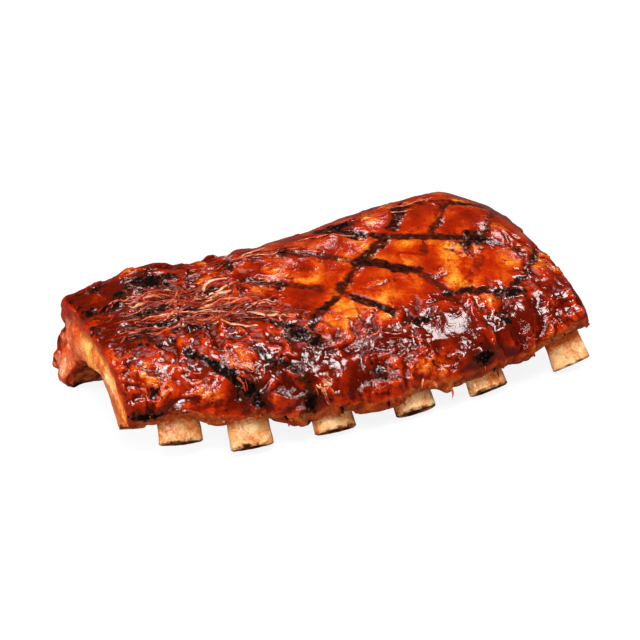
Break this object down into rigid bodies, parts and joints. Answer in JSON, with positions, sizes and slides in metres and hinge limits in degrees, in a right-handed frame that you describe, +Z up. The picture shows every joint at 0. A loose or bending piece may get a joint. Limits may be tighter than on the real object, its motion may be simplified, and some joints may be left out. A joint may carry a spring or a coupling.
{
  "type": "rack of ribs",
  "caption": "Half rack of grilled, sauce-glazed pork ribs lying meat side up, with bared rib bone ends along one long edge.",
  "frame": {"origin": "on the surface it lies on, under the middle of the rack's box", "axes": "+X along the rack from the end with the sawn rib to the rolled end, -Y towards the bared bone ends, +Z up through the glazed side"},
  "size_m": [0.1974, 0.104, 0.0474],
  "materials": {
    "glazed_meat": "grilled pork under a wet, sticky red-brown barbecue glaze, with charred grill marks",
    "rib_bone": "cooked bone, cream to tan, browned round its sawn end"
  },
  "bodies": {
    "root": {"meat": "glazed_meat", "rib_bone_1": "rib_bone", "rib_bone_2": "rib_bone", "rib_bone_3": "rib_bone", "rib_bone_4": "rib_bone", "rib_bone_5": "rib_bone", "rib_bone_6": "rib_bone", "rib_bone_7": "rib_bone"}
  },
  "joints": []
}
